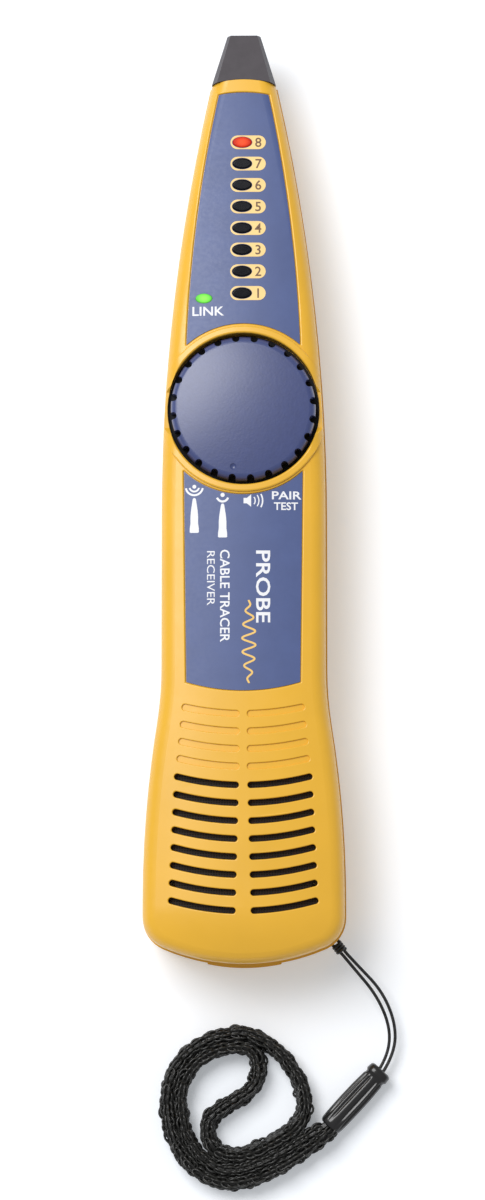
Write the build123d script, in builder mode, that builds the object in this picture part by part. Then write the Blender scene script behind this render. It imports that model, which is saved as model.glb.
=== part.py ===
from build123d import *
import math
import os

# Handheld cable tone probe with its wrist strap.
# The probe lies on its back: +Z out of the face, +Y toward the tip, millimetres.

os.makedirs("parts", exist_ok=True)

# ---------------------------------------------------------------- case outline
NOSE_Y = 109.0
NOSE_BOW = 0.5
NOSE_BOW_RADIUS = 28.0
TIP_END_Y = 122.0
WAIST_HALF = 21.2
WAIST_TOP_Y = -6.0
TAPER_RADIUS = 514.0
FLARE_TOP_Y = -45.0
FLARE_IN_RADIUS = 90.0
FLARE_OUT_RADIUS = 287.0
FLARE_TURN = 9.13
CORNER_RADIUS = 8.5
BUTT_RADIUS = 53.0
BUTT_FRONT_Y = -120.9
BUTT_REAR_Y = -121.1
REAR_STEP = 0.4

# ---------------------------------------------------------------- case profile
FACE_Z = 31.5
FACE_PEAK_Y = 10.0
FACE_FORE_RADIUS = 660.0
CROWN_RADIUS = 110.0
BUTT_BEND_Y = -106.0
BUTT_BEND_RADIUS = 32.0
BACK_FLAT_END_Y = 20.0
BACK_RISE_RADIUS = 368.0
SHOULDER_ROUND = 4.4
BACK_ROUND = 6.0
WALL = 2.2
PART_LINE_Z = 14.5
PART_LINE_NOSE_Z = 17.4

# ---------------------------------------------------------------- face details
LABEL_SINK = 0.15
LABEL_DEPTH = 0.5
LABEL_GAP = 0.12
DIAL_Y = 21.8
DIAL_RADIUS = 18.7
WELL_RADIUS = 19.7
BEZEL_RADIUS = 21.65
BEZEL_RISE = 0.7
WELL_FLOOR_Z = 25.4
WELL_FLOOR_WALL = 2.0
NOTCH_HALF = 4.6
NOTCH_TOP_HALF = 10.0
NOTCH_Z = 27.8
LABEL_EDGE_ROUND = 0.4
BLIND_EDGE_ROUND = 0.2
SLOT_EDGE_ROUND = 0.25
FLUTES = 24
LABEL_DIAL_RADIUS = 22.3

LEVELS = 8
LEVEL_X = -0.35
LEVEL_TOP_Y = 92.35
LEVEL_PITCH = 5.76
LENS_HALF = (2.5, 1.42)
LINK_AT = (-10.2, 50.7)
LINK_HALF = (2.15, 1.25)
LENS_BOTTOM_Z = 19.4

SLOT_HEIGHT = 1.65
SLOT_BOW_RADIUS = 67.0
SPEAKER_Y = -91.0

# ---------------------------------------------------------------- inside
BOARD_Z = 16.4
BOARD_THICK = 1.6
BOARD_TOP_Z = BOARD_Z + BOARD_THICK
BOARD_Y = (-46.0, 95.0)
BOARD_HALF = 17.7
BATTERY = (26.5, 46.4, 17.5)
BATTERY_Y = (-115.3, -68.9)
BATTERY_Z = 2.8
CASE_SCREWS = [(x * s, y) for x, y in ((13.3, 46.0), (16.4, -55.0), (20.3, -102.0)) for s in (1, -1)]
BOARD_SCREWS = [(12.5, -38.0), (-12.5, -38.0), (8.8, 72.0), (-8.8, 72.0)]
SPEAKER_EARS = [(12.5, -70.5), (-12.5, -70.5), (12.0, -111.0), (-12.0, -111.0)]
SPEAKER_FLANGE_Z = 24.2
DOOR_HALF = 14.0
DOOR_TOP_Y = -64.5
DOOR_GAP = 0.3
LATCHES = (-8.5, 8.5)
PICKUP_Z = 17.4

# ---------------------------------------------------------------- lanyard
POST_AT = (21.9, -113.4)
POST_RADIUS = 0.9
STRING_RADIUS = 0.42
FERRULE_TOP = (35.6, -148.4)
FERRULE_END = (21.8, -163.2)
STRAP_THICK = 2.7
STRAP_HIGH = 7.2
STRAP_Z = 3.8
LAYER = 3.0


def face_z(x, y):
    """Height of the crowned face above the table."""
    crown = CROWN_RADIUS - math.sqrt(CROWN_RADIUS**2 - x**2)
    run = max(0.0, y - FACE_PEAK_Y)
    return FACE_Z - FACE_FORE_RADIUS + math.sqrt((FACE_FORE_RADIUS - crown) ** 2 - run**2)


def taper_half(y):
    """Half width of the case between the waist and the nose."""
    return WAIST_HALF - TAPER_RADIUS + math.sqrt(TAPER_RADIUS**2 - (y - WAIST_TOP_Y) ** 2)


def crown_profile(plane, inset, top, bottom):
    """Sketch on a plane: crowned top edge at height top above a flat bottom."""
    half = 32.0
    crown = CROWN_RADIUS - inset
    low = top - crown + math.sqrt(crown**2 - half**2)
    with BuildSketch(plane) as profile:
        with BuildLine():
            Polyline((-half, low), (-half, bottom), (half, bottom), (half, low))
            ThreePointArc((half, low), (0, top), (-half, low))
        make_face()
    return profile.sketch


def crown_region(inset):
    """Everything below the face surface moved inward by inset."""
    fore_axis = Axis((0, FACE_PEAK_Y, FACE_Z - FACE_FORE_RADIUS), (-1, 0, 0))
    bend_axis = Axis((0, BUTT_BEND_Y, FACE_Z - BUTT_BEND_RADIUS), (1, 0, 0))
    fore_plane = Plane(origin=fore_axis.position, x_dir=(1, 0, 0), z_dir=(0, -1, 0))
    bend_plane = Plane(origin=bend_axis.position, x_dir=(1, 0, 0), z_dir=(0, -1, 0))
    mid_plane = Plane(origin=(0, FACE_PEAK_Y, 0), x_dir=(1, 0, 0), z_dir=(0, -1, 0))
    with BuildPart() as region:
        fore = crown_profile(fore_plane, inset, FACE_FORE_RADIUS - inset, FACE_FORE_RADIUS - 90)
        revolve(fore, axis=fore_axis, revolution_arc=12)
        extrude(crown_profile(mid_plane, inset, FACE_Z - inset, -58), amount=FACE_PEAK_Y - BUTT_BEND_Y)
        bend = crown_profile(bend_plane, inset, BUTT_BEND_RADIUS - inset, 0)
        revolve(bend, axis=bend_axis, revolution_arc=90)
    return region.part


def nose_zone(inset):
    """Everything behind the bowed nose end moved inward by inset."""
    with BuildPart() as zone:
        with BuildSketch():
            with Locations((0, NOSE_Y + NOSE_BOW - NOSE_BOW_RADIUS)):
                Circle(NOSE_BOW_RADIUS - inset)
            with Locations((0, -20)):
                Rectangle(70, 220)
        extrude(amount=60)
    return zone.part


def rim_edges(body, low, high):
    """Edges that run round the case between two heights, without the seams across it."""
    rims = ShapeList()
    for edge in body.edges():
        mid = edge @ 0.5
        across = abs(mid.X) < 1 and mid.Y > BUTT_BEND_Y - 5
        if low < mid.Z < high and not across and abs((edge % 0.5).Z) < 0.9:
            rims.append(edge)
    return rims


def case_body(inset, step, butt_y):
    """Outer skin of the case moved inward by inset, plan widened by step."""
    side_x = WAIST_HALF
    with BuildPart() as body:
        with BuildSketch():
            with BuildLine():
                rise = math.degrees(math.asin((NOSE_Y + 4 - WAIST_TOP_Y) / TAPER_RADIUS))
                taper = JernArc((side_x, WAIST_TOP_Y), (0, 1), TAPER_RADIUS, rise)
                Line(taper @ 1, (0, NOSE_Y + 4))
                Line((side_x, WAIST_TOP_Y), (side_x, FLARE_TOP_Y))
                flare = JernArc((side_x, FLARE_TOP_Y), (0, -1), FLARE_IN_RADIUS, FLARE_TURN)
                belly = JernArc(flare @ 1, flare % 1, FLARE_OUT_RADIUS, -FLARE_TURN)
                hip = belly @ 1
                hub_y = butt_y + BUTT_RADIUS
                dx = hip.X - CORNER_RADIUS
                dy = math.sqrt((BUTT_RADIUS - CORNER_RADIUS) ** 2 - dx**2)
                swing = math.atan2(dx, dy)
                Line(hip, (hip.X, hub_y - dy))
                corner = JernArc((hip.X, hub_y - dy), (0, -1), CORNER_RADIUS, -90 + math.degrees(swing))
                mid = (BUTT_RADIUS * math.sin(swing / 2), hub_y - BUTT_RADIUS * math.cos(swing / 2))
                ThreePointArc(corner @ 1, mid, (0, butt_y))
                mirror(about=Plane.YZ)
            make_face()
            if step != inset:
                offset(amount=step - inset, kind=Kind.INTERSECTION)
        extrude(amount=40)
        with BuildSketch(Plane.YZ):
            with BuildLine():
                start = (BACK_FLAT_END_Y, inset)
                back = JernArc(start, (1, 0), BACK_RISE_RADIUS - inset, 18)
                Polyline(back @ 1, (back @ 1) + Vector(0, 60), (-130, 60), (-130, inset), start)
            make_face()
        extrude(amount=40, both=True, mode=Mode.INTERSECT)
        add(crown_zone[inset], mode=Mode.INTERSECT)
        add(nose_zone(max(0.0, inset)), mode=Mode.INTERSECT)
        fillet(rim_edges(body.part, 20.3, 40), radius=SHOULDER_ROUND - inset)
        fillet(rim_edges(body.part, -1, 13), radius=BACK_ROUND - inset)
    return body.part


FITTING_INSET = 1.2
INSETS = (0.0, LABEL_SINK, LABEL_DEPTH, FITTING_INSET, WALL, WALL + 0.3)
crown_zone = {inset: crown_region(inset) for inset in INSETS}
skin = {inset: case_body(inset, 0.0, BUTT_FRONT_Y) for inset in INSETS}
rear_skin = {inset: case_body(inset, REAR_STEP, BUTT_REAR_Y) for inset in (0.0, WALL)}


def parting_zone(edge):
    """Space between the parting surface of the case halves and the height edge."""
    with BuildPart() as zone:
        with BuildSketch(Plane.YZ):
            with BuildLine():
                low = (-130, PART_LINE_Z)
                bend = (BACK_FLAT_END_Y, PART_LINE_Z)
                nose = (NOSE_Y + 4, PART_LINE_NOSE_Z)
                Polyline(low, bend, nose, (NOSE_Y + 4, edge), (-130, edge), close=True)
            make_face()
        extrude(amount=40, both=True)
    return zone.part


upper_zone = parting_zone(60)
lower_zone = parting_zone(-20)


def export(part, name):
    """Label one finished sub-part and write its STEP file."""
    part.label = name
    export_step(part, "parts/" + name + ".step")


def rods(spots, radius, low, high):
    """Upright round columns at a list of plan points."""
    with BuildPart() as columns:
        with BuildSketch(Plane.XY.offset(low)):
            with Locations(*spots):
                Circle(radius)
        extrude(amount=high - low)
    return columns.part


def block(x, y, z, round_off=0.0):
    """Box from three (low, high) spans, plan corners rounded by round_off."""
    with BuildPart() as piece:
        with BuildSketch(Plane.XY.offset(z[0])) as plan:
            with Locations(((x[0] + x[1]) / 2, (y[0] + y[1]) / 2)):
                Rectangle(x[1] - x[0], y[1] - y[0])
            if round_off:
                fillet(plan.vertices(), radius=round_off)
        extrude(amount=z[1] - z[0])
    return piece.part


# ---------------------------------------------------------------- printed labels
def upper_label_zone(grow):
    """Plan area of the label between the tip and the dial."""
    with BuildPart() as zone:
        with BuildSketch():
            with BuildLine():
                ThreePointArc((14.62, 39.8), (11.92, 72.7), (6.5, 105.3))
                ThreePointArc((6.5, 105.3), (0, 105.9), (-6.5, 105.3))
                ThreePointArc((-6.5, 105.3), (-11.92, 72.7), (-14.62, 39.8))
                Polyline((-14.62, 39.8), (-14.62, 36.0), (14.62, 36.0), (14.62, 39.8))
            make_face()
            with Locations((0, DIAL_Y)):
                Circle(LABEL_DIAL_RADIUS, mode=Mode.SUBTRACT)
            if grow:
                offset(amount=grow)
        extrude(amount=45)
    return zone.part


def lower_label_zone(grow):
    """Plan area of the label between the dial and the grille."""
    with BuildPart() as zone:
        with BuildSketch():
            with BuildLine():
                Polyline((-14.6, -48.8), (-15.3, 9.0), (15.3, 9.0), (14.6, -48.8))
                ThreePointArc((14.6, -48.8), (0, -51.0), (-14.6, -48.8))
            make_face()
            with Locations((0, DIAL_Y)):
                Circle(LABEL_DIAL_RADIUS, mode=Mode.SUBTRACT)
            if grow:
                offset(amount=grow)
        extrude(amount=45)
    return zone.part


def lens_zone(grow, low):
    """Prisms over the eight level lenses and the link lens."""
    with BuildPart() as zone:
        with BuildSketch(Plane.XY.offset(low)):
            for k in range(LEVELS):
                with Locations((LEVEL_X, LEVEL_TOP_Y - LEVEL_PITCH * k)):
                    Ellipse(LENS_HALF[0] + grow, LENS_HALF[1] + grow)
            with Locations(LINK_AT):
                Ellipse(LINK_HALF[0] + grow, LINK_HALF[1] + grow)
        extrude(amount=45 - low)
    return zone.part


with BuildPart() as upper_label:
    add(skin[LABEL_SINK])
    add(skin[LABEL_DEPTH], mode=Mode.SUBTRACT)
    add(upper_label_zone(0), mode=Mode.INTERSECT)
    add(upper_zone, mode=Mode.INTERSECT)
    add(lens_zone(0.06, 10), mode=Mode.SUBTRACT)
export(upper_label.part, "upper_label")

with BuildPart() as lower_label:
    add(skin[LABEL_SINK])
    add(skin[LABEL_DEPTH], mode=Mode.SUBTRACT)
    add(lower_label_zone(0), mode=Mode.INTERSECT)
    add(upper_zone, mode=Mode.INTERSECT)
export(lower_label.part, "lower_label")


# ---------------------------------------------------------------- grille slots
def slot_edges(y, gap, half, side):
    """Outline of one bowed slot with round ends, left or right of the middle rib."""
    r = SLOT_HEIGHT / 2

    def at(x, rise):
        """Point rise below the slot's middle line, x being its distance from the rib."""
        angle = math.asin(x / SLOT_BOW_RADIUS)
        reach = SLOT_BOW_RADIUS + rise
        return (side * reach * math.sin(angle), y + SLOT_BOW_RADIUS - reach * math.cos(angle))

    near = gap / 2 + r
    far = half - r
    mid = (near + far) / 2
    return [
        Edge.make_three_point_arc(at(near, r), at(mid, r), at(far, r)),
        Edge.make_three_point_arc(at(far, r), at(far + r, 0), at(far, -r)),
        Edge.make_three_point_arc(at(far, -r), at(mid, -r), at(near, -r)),
        Edge.make_three_point_arc(at(near, -r), at(near - r, 0), at(near, r)),
    ]


with BuildPart() as open_slots:
    with BuildSketch(Plane.XY.offset(22)):
        for k in range(8):
            for side in (-1, 1):
                make_face(slot_edges(-75.3 - 4.585 * k, 2.2 + 0.24 * k, 17.7 + 0.21 * k, side))
    extrude(amount=15)

with BuildPart() as blind_slots:
    with BuildSketch(Plane.XY.offset(22)):
        for k in range(4):
            for side in (-1, 1):
                make_face(slot_edges(-57.0 - 4.5 * k, 2.0, 15.7 + 0.43 * k, side))
    extrude(amount=15)
    add(crown_zone[LABEL_DEPTH], mode=Mode.SUBTRACT)

# ---------------------------------------------------------------- front case half
with BuildPart() as front_fittings:
    with BuildSketch(Plane.XY.offset(WELL_FLOOR_Z - WELL_FLOOR_WALL)):
        with Locations((0, DIAL_Y)):
            Circle(WELL_RADIUS + 1.0)
    extrude(amount=15)
    add(rods(CASE_SCREWS, 3.0, PART_LINE_Z, 40))
    add(open_slots.part, mode=Mode.SUBTRACT)
    add(rods(BOARD_SCREWS, 2.2, BOARD_TOP_Z, 40))
    add(rods(SPEAKER_EARS, 2.0, SPEAKER_FLANGE_Z + 1.0, 40))
    add(skin[FITTING_INSET], mode=Mode.INTERSECT)

with BuildPart() as bezel_band:
    with BuildSketch(Plane.XY.offset(26)):
        with Locations((0, DIAL_Y)):
            Circle(BEZEL_RADIUS)
            Circle(WELL_RADIUS, mode=Mode.SUBTRACT)
    extrude(amount=20)
    add(crown_region(-BEZEL_RISE), mode=Mode.INTERSECT)
    fillet(bezel_band.edges().filter_by(lambda e: (e @ 0.5).Z > 28), radius=0.5)
    add(Pos(0, 0, BEZEL_RISE) * skin[0.0], mode=Mode.INTERSECT)

with BuildPart() as label_recess:
    add(upper_label_zone(LABEL_GAP))
    add(lower_label_zone(LABEL_GAP))
    add(rods([(0, DIAL_Y)], BEZEL_RADIUS + 0.2, 0, 45), mode=Mode.SUBTRACT)
    add(skin[LABEL_DEPTH], mode=Mode.SUBTRACT)

def face_rims(body, low, high, reach):
    """Edges on the outer skin between two distances along the case, away from the dial."""
    outside = skin[0.0].shell()
    rims = ShapeList()
    for edge in body.edges():
        mid = edge @ 0.5
        near = abs(mid.X) < reach and low < mid.Y < high
        clear = math.hypot(mid.X, mid.Y - DIAL_Y) > 22.6
        if near and clear and outside.distance_to(Vertex(*mid)) < 0.01:
            rims.append(edge)
    return rims


with BuildPart() as front_shell:
    add(skin[0.0])
    add(open_slots.part, mode=Mode.SUBTRACT)
    add(blind_slots.part, mode=Mode.SUBTRACT)
    add(label_recess.part, mode=Mode.SUBTRACT)
    add(skin[WALL], mode=Mode.SUBTRACT)
    add(front_fittings.part)
    add(bezel_band.part)
    add(rods([(0, DIAL_Y)], WELL_RADIUS, WELL_FLOOR_Z, 45), mode=Mode.SUBTRACT)
    with BuildSketch(Plane.YZ):
        with BuildLine():
            notch_foot = [(DIAL_Y - NOTCH_HALF, NOTCH_Z), (DIAL_Y + NOTCH_HALF, NOTCH_Z)]
            notch_head = [(DIAL_Y + NOTCH_TOP_HALF, 34), (DIAL_Y - NOTCH_TOP_HALF, 34)]
            Polyline(*notch_foot, *notch_head, close=True)
        make_face()
    extrude(amount=30, both=True, mode=Mode.SUBTRACT)
    add(rods([(0, DIAL_Y)], 4.1, 20, 30), mode=Mode.SUBTRACT)
    add(lens_zone(0.06, 20), mode=Mode.SUBTRACT)
    add(rods(CASE_SCREWS, 1.3, 10, 23.5), mode=Mode.SUBTRACT)
    add(rods(BOARD_SCREWS, 1.0, 15, 23.0), mode=Mode.SUBTRACT)
    add(rods(SPEAKER_EARS, 0.9, 20, 27.0), mode=Mode.SUBTRACT)
    add(block((-4.38, 4.38), (104, 112), (PICKUP_Z - 3.18, PICKUP_Z + 3.18)), mode=Mode.SUBTRACT)
    add(upper_zone, mode=Mode.INTERSECT)
    label_rims = face_rims(front_shell.part, -51.6, 106.4, 15.6)
    fillet(label_rims.filter_by(lambda e: e.length > 3), radius=LABEL_EDGE_ROUND)
    fillet(face_rims(front_shell.part, -74.0, -55.0, 20.0), radius=BLIND_EDGE_ROUND)
    fillet(face_rims(front_shell.part, -112.0, -74.0, 20.0), radius=SLOT_EDGE_ROUND)
export(front_shell.part, "front_shell")

# ---------------------------------------------------------------- rear case half
out_x = 0.62
out_y = -0.785
lanyard_plane = Plane(origin=(POST_AT[0], POST_AT[1], 0), x_dir=(out_x, out_y, 0), z_dir=(0, 0, 1))

with BuildPart() as door_zone:
    add(block((-DOOR_HALF, DOOR_HALF), (-130, DOOR_TOP_Y), (-1, 6.4)))
    add(block((-10, 10), (-130, -116), (-1, 12.5)))

with BuildPart() as door_opening:
    wide = DOOR_HALF + DOOR_GAP
    add(block((-wide, wide), (-130, DOOR_TOP_Y + DOOR_GAP), (-1, 6.4 + DOOR_GAP)))
    add(block((-10.3, 10.3), (-130, -116), (-1, 12.8)))

with BuildPart() as rear_fittings:
    add(rods(CASE_SCREWS, 3.8, 0, PART_LINE_Z + 3))
    for side in (-1, 1):
        span = sorted((side * 14.5, side * 15.7))
        add(block(span, (-114, -66), (1, 13.5)))
    with BuildSketch(lanyard_plane.offset(1.0)):
        Rectangle(9.6, 9.0)
    extrude(amount=11.5)
    add(rear_skin[0.0], mode=Mode.INTERSECT)

with BuildPart() as rear_shell:
    add(rear_skin[0.0])
    add(rear_skin[WALL], mode=Mode.SUBTRACT)
    add(rear_fittings.part)
    add(door_opening.part, mode=Mode.SUBTRACT)
    for x in LATCHES:
        add(block((x - 2.8, x + 2.8), (-65.0, -61.2), (1.1, 2.8)), mode=Mode.SUBTRACT)
    add(rods(CASE_SCREWS, 2.9, -1, 5.0), mode=Mode.SUBTRACT)
    add(rods(CASE_SCREWS, 1.55, 0, 25), mode=Mode.SUBTRACT)
    with BuildSketch(lanyard_plane.offset(5.0)):
        with Locations((5, 0)):
            Rectangle(15.0, 5.2)
    extrude(amount=5.0, mode=Mode.SUBTRACT)
    add(rods([POST_AT], POST_RADIUS, 3.0, 12.0), mode=Mode.SUBTRACT)
    add(block((-4.38, 4.38), (104, 112), (PICKUP_Z - 3.18, PICKUP_Z + 3.18)), mode=Mode.SUBTRACT)
    add(lower_zone, mode=Mode.INTERSECT)
export(rear_shell.part, "rear_shell")

with BuildPart() as lanyard_post:
    add(rods([POST_AT], POST_RADIUS, 3.0, 12.0))
export(lanyard_post.part, "lanyard_post")

# ---------------------------------------------------------------- battery door
with BuildPart() as battery_door:
    add(rear_skin[0.0])
    add(rear_skin[WALL], mode=Mode.SUBTRACT)
    add(door_zone.part, mode=Mode.INTERSECT)
    with BuildSketch(Plane.XY.offset(10.4)):
        with BuildLine():
            ThreePointArc((-9.6, -121.0), (0, -122.0), (9.6, -121.0))
            Polyline((9.6, -121.0), (9.6, -120.0), (-9.6, -120.0), (-9.6, -121.0))
        make_face()
    extrude(amount=1.6)
    for x in LATCHES:
        add(block((x - 2.5, x + 2.5), (-66.5, -61.5), (1.2, 2.5)))
    for k in range(5):
        with BuildSketch(Plane.XY):
            with Locations((0, -72.0 - 2.2 * k)):
                SlotOverall(17 - 1.6 * k, 1.0)
        extrude(amount=0.45, mode=Mode.SUBTRACT)
export(battery_door.part, "battery_door")

with BuildPart() as battery_pad:
    add(block((-10, 10), (-105, -76), (WALL, WALL + 0.45), 2.0))
export(battery_pad.part, "battery_pad")

# ---------------------------------------------------------------- screws
with BuildPart() as case_screws:
    add(rods(CASE_SCREWS, 2.5, 3.2, 5.0))
    add(rods(CASE_SCREWS, 1.3, 5.0, 22.5))
    for at in CASE_SCREWS:
        for arms in ((2.6, 0.55), (0.55, 2.6)):
            with BuildSketch(Plane.XY.offset(3.2)):
                with Locations(at):
                    Rectangle(arms[0], arms[1])
            extrude(amount=0.9, mode=Mode.SUBTRACT)
export(case_screws.part, "case_screws")

with BuildPart() as board_screws:
    add(rods(BOARD_SCREWS, 1.9, BOARD_Z - 1.2, BOARD_Z))
    add(rods(BOARD_SCREWS, 1.0, BOARD_Z, 22.4))
    for at in BOARD_SCREWS:
        for arms in ((2.0, 0.45), (0.45, 2.0)):
            with BuildSketch(Plane.XY.offset(BOARD_Z - 1.2)):
                with Locations(at):
                    Rectangle(arms[0], arms[1])
            extrude(amount=0.6, mode=Mode.SUBTRACT)
export(board_screws.part, "board_screws")

# ---------------------------------------------------------------- level lenses and LEDs
for k in range(LEVELS):
    lens_y = LEVEL_TOP_Y - LEVEL_PITCH * k
    with BuildPart() as level_lens:
        with BuildSketch(Plane.XY.offset(LENS_BOTTOM_Z)):
            with Locations((LEVEL_X, lens_y)):
                Ellipse(LENS_HALF[0], LENS_HALF[1])
        extrude(amount=face_z(LEVEL_X, lens_y) + 0.3 - LENS_BOTTOM_Z)
        fillet(level_lens.edges().sort_by(Axis.Z)[-1], radius=0.4)
    export(level_lens.part, "level_lens_" + str(LEVELS - k))

with BuildPart() as link_lens:
    with BuildSketch(Plane.XY.offset(LENS_BOTTOM_Z)):
        with Locations(LINK_AT):
            Ellipse(LINK_HALF[0], LINK_HALF[1])
    extrude(amount=face_z(LINK_AT[0], LINK_AT[1]) + 0.25 - LENS_BOTTOM_Z)
    fillet(link_lens.edges().sort_by(Axis.Z)[-1], radius=0.35)
export(link_lens.part, "link_lens")

with BuildPart() as level_leds:
    for k in range(LEVELS):
        lens_y = LEVEL_TOP_Y - LEVEL_PITCH * k
        span_x = (LEVEL_X - 1.0, LEVEL_X + 1.0)
        span_y = (lens_y - 0.65, lens_y + 0.65)
        add(block(span_x, span_y, (BOARD_TOP_Z, BOARD_TOP_Z + 0.9)))
export(level_leds.part, "level_leds")

with BuildPart() as link_led:
    x, y = LINK_AT
    add(block((x - 1.0, x + 1.0), (y - 0.65, y + 0.65), (BOARD_TOP_Z, BOARD_TOP_Z + 0.9)))
export(link_led.part, "link_led")

# ---------------------------------------------------------------- circuit board
with BuildPart() as main_board:
    with BuildSketch(Plane.XY.offset(BOARD_Z)):
        with BuildLine():
            right = [(taper_half(y) - 3.2, y) for y in (BOARD_Y[1], 52.0, 10.0)]
            ThreePointArc(*right)
            Polyline(right[-1], (BOARD_HALF, WAIST_TOP_Y), (BOARD_HALF, BOARD_Y[0]), (0, BOARD_Y[0]))
            Line((0, BOARD_Y[1]), right[0])
            mirror(about=Plane.YZ)
        make_face()
    extrude(amount=BOARD_THICK)
    add(rods(CASE_SCREWS, 3.4, 10, 25), mode=Mode.SUBTRACT)
    add(rods(BOARD_SCREWS, 1.0, 10, 25), mode=Mode.SUBTRACT)
export(main_board.part, "main_board")


def chip(at, size, pins, pitch, level, sides):
    """Leaded chip body with two or four rows of flat leads on the board."""
    x, y = at
    half_x = size[0] / 2
    half_y = size[1] / 2
    with BuildPart() as package:
        add(block((x - half_x, x + half_x), (y - half_y, y + half_y), (level + 0.1, level + size[2])))
        for k in range(pins):
            step = (k - (pins - 1) / 2) * pitch
            reach = half_x + 0.9
            add(block((x - reach, x + reach), (y + step - 0.18, y + step + 0.18), (level, level + 0.35)))
            if sides == 4:
                reach = half_y + 0.9
                add(block((x + step - 0.18, x + step + 0.18), (y - reach, y + reach), (level, level + 0.35)))
    return package.part


with BuildPart() as processor_chip:
    add(chip((1.0, -14.0), (10.0, 10.0, 1.5), 12, 0.75, BOARD_TOP_Z, 4))
export(processor_chip.part, "processor_chip")

with BuildPart() as amplifier_chip:
    add(chip((-9.0, -32.0), (4.0, 5.0, 1.6), 4, 1.27, BOARD_TOP_Z, 2))
export(amplifier_chip.part, "amplifier_chip")

with BuildPart() as filter_chip:
    add(chip((7.8, 62.0), (4.0, 5.0, 1.6), 4, 1.27, BOARD_TOP_Z, 2))
export(filter_chip.part, "filter_chip")

with BuildPart() as crystal:
    add(block((9.5, 13.3), (-19, -8.5), (BOARD_TOP_Z, BOARD_TOP_Z + 3.2), 1.7))
export(crystal.part, "crystal")

with BuildPart() as storage_capacitors:
    add(rods([(7.0, -32.0), (13.0, -27.0)], 3.1, BOARD_TOP_Z, BOARD_TOP_Z + 5.6))
    fillet(storage_capacitors.edges().filter_by(lambda e: (e @ 0.5).Z > BOARD_TOP_Z + 5), radius=0.5)
export(storage_capacitors.part, "storage_capacitors")

with BuildPart() as small_parts:
    spots = [(-9, -8), (-9, -12), (-9, -16), (-12, -10), (-12, -14)]
    spots += [(-5, -26), (0, -28), (5.5, 80), (5.5, 86), (-5.5, 80)]
    for x, y in spots:
        add(block((x - 1.0, x + 1.0), (y - 0.6, y + 0.6), (BOARD_TOP_Z, BOARD_TOP_Z + 0.7)))
export(small_parts.part, "small_parts")

with BuildPart() as board_sockets:
    add(block((-14, -8), (BOARD_Y[0] + 1, BOARD_Y[0] + 5), (BOARD_Z - 3.4, BOARD_Z)))
    add(block((8, 14), (BOARD_Y[0] + 1, BOARD_Y[0] + 5), (BOARD_Z - 3.4, BOARD_Z)))
export(board_sockets.part, "board_sockets")

# ---------------------------------------------------------------- dial and rotary switch
with BuildPart() as rotary_switch:
    add(block((-8.5, 8.5), (DIAL_Y - 8.5, DIAL_Y + 8.5), (BOARD_TOP_Z, 22.8), 1.5))
    add(rods([(0, DIAL_Y)], 3.98, 22.8, 25.2))
    add(rods([(0, DIAL_Y)], 3.0, 19.5, 26), mode=Mode.SUBTRACT)
export(rotary_switch.part, "rotary_switch")

with BuildPart() as switch_shaft:
    add(rods([(0, DIAL_Y)], 2.94, 19.9, 30.2))
export(switch_shaft.part, "switch_shaft")

with BuildPart() as dial_seal:
    with BuildSketch(Plane.XY.offset(WELL_FLOOR_Z)):
        with Locations((0, DIAL_Y)):
            Circle(WELL_RADIUS - 0.1)
            Circle(10.0, mode=Mode.SUBTRACT)
    extrude(amount=0.35)
export(dial_seal.part, "dial_seal")

with BuildPart() as selector_dial:
    with BuildSketch(Plane.XZ.offset(-DIAL_Y)):
        with BuildLine():
            Polyline((0, 26.1), (DIAL_RADIUS, 26.1), (DIAL_RADIUS, 30.4))
            ThreePointArc((DIAL_RADIUS, 30.4), (18.15, 31.5), (17.0, 32.1))
            ThreePointArc((17.0, 32.1), (8.6, 33.0), (0, 33.3))
            Line((0, 33.3), (0, 26.1))
        make_face()
        with BuildLine(mode=Mode.PRIVATE) as hollow:
            Polyline((6.2, 25.0), (16.0, 25.0), (16.0, 28.6), (14.6, 30.2), (6.2, 30.9), close=True)
        add(make_face(hollow.edges(), mode=Mode.PRIVATE), mode=Mode.SUBTRACT)
    revolve(axis=Axis((0, DIAL_Y, 0), (0, 0, 1)))
    with BuildSketch(Plane.XY.offset(25)):
        with Locations((0, DIAL_Y)):
            with PolarLocations(DIAL_RADIUS - 0.5, FLUTES, start_angle=6.0):
                Circle(0.95)
            with PolarLocations(DIAL_RADIUS + 0.5, FLUTES, start_angle=6.0):
                Rectangle(2.0, 1.9)
    extrude(amount=10, mode=Mode.SUBTRACT)
    add(rods([(0, DIAL_Y)], 2.94, 24, 30.2), mode=Mode.SUBTRACT)
    spot = math.radians(-90 - 9.6)
    with Locations((15.5 * math.cos(spot), DIAL_Y + 15.5 * math.sin(spot), 33.1)):
        Sphere(1.15, mode=Mode.SUBTRACT)
export(selector_dial.part, "selector_dial")

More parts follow.
